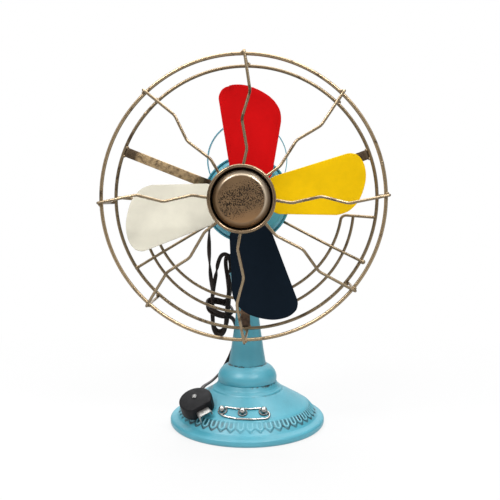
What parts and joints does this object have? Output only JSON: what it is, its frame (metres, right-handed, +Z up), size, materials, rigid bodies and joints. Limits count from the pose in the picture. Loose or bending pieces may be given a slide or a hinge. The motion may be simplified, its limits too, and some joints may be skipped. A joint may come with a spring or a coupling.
{
  "type": "desk fan",
  "caption": "Retro desk fan with loose-turning petal blades in a two-ring wire cage, strip handle, hourglass column, domed round base with ball buttons, and a thin lead with a puck plug.",
  "frame": {"origin": "middle of the underside of the base", "axes": "+Z up, +X to the right seen from the front, the fan faces -Y"},
  "size_m": [0.253, 0.1804, 0.3501],
  "materials": {
    "paint_blue": "satin turquoise enamel, worn dark in the seams",
    "bronze_wire": "brushed antique bronze",
    "bronze_sheet": "mottled antique bronze",
    "paint_red": "satin enamel",
    "paint_yellow": "satin enamel",
    "paint_navy": "satin enamel",
    "paint_cream": "satin enamel",
    "steel": "plated, slightly dulled",
    "brass": "turned",
    "felt": "pressed felt",
    "plastic_black": "moulded, matt",
    "rubber_black": "moulded",
    "flex": "flat flex sheath, slightly glossy"
  },
  "bodies": {
    "stand": {"base_dome": "paint_blue", "base_felt": "felt", "base_plate": "steel", "base_shell": "paint_blue", "basket_inner_wire": "bronze_wire", "basket_outer_wire": "bronze_wire", "bearing_tube": "steel", "button_guides": "steel", "button_trim": "steel", "cage_ties": "bronze_wire", "carry_handle": "paint_blue", "column": "paint_blue", "cord_drop": "flex", "cord_gland": "rubber_black", "cord_hank": "flex", "cord_tail": "flex", "front_bush": "brass", "front_ring": "bronze_wire", "head_saddle": "paint_blue", "housing_front": "paint_blue", "housing_rear": "paint_blue", "housing_screws": "steel", "hub_disc": "bronze_sheet", "hub_ring": "bronze_wire", "neck_cap": "paint_blue", "neck_post": "paint_blue", "plug_body": "plastic_black", "plug_prongs": "steel", "plug_rivet": "steel", "rear_bush": "brass", "rear_ring": "bronze_wire", "spoke_1": "bronze_wire", "spoke_2": "bronze_wire", "spoke_3": "bronze_wire", "spoke_4": "bronze_wire", "spoke_5": "bronze_wire", "spoke_6": "bronze_wire", "spoke_7": "bronze_wire", "spoke_8": "bronze_wire", "stay_left": "bronze_wire", "stay_right": "bronze_wire", "strap_left": "bronze_sheet", "strap_lower": "bronze_sheet", "strap_right": "bronze_sheet", "tie_rod": "steel", "tie_rod_nut": "steel"},
    "fan": {"shaft": "steel", "shaft_collars": "steel", "shaft_nut": "steel", "blade_hub": "steel", "blade_red": "paint_red", "blade_yellow": "paint_yellow", "blade_navy": "paint_navy", "blade_white": "paint_cream", "blade_rivets": "steel"},
    "button_left": {"button_left": "steel"},
    "button_middle": {"button_middle": "steel"},
    "button_right": {"button_right": "steel"}
  },
  "joints": [
    {"name": "fan_spin", "type": "hinge", "parent": "stand", "child": "fan", "pos_m": [0, -0.062, 0.2236], "axis": [0, -1, 0], "continuous": true},
    {"name": "button_left_press", "type": "slide", "parent": "stand", "child": "button_left", "axis": [0.1959, 0.4528, -0.8698], "range_m": [0, 0.0012], "stiffness_N_per_m": 300, "springref_m": -0.0015},
    {"name": "button_middle_press", "type": "slide", "parent": "stand", "child": "button_middle", "axis": [0.0172, 0.4931, -0.8698], "range_m": [0, 0.0012], "stiffness_N_per_m": 300, "springref_m": -0.0015},
    {"name": "button_right_press", "type": "slide", "parent": "stand", "child": "button_right", "axis": [-0.1639, 0.4654, -0.8698], "range_m": [0, 0.0012], "stiffness_N_per_m": 300, "springref_m": -0.0015}
  ]
}
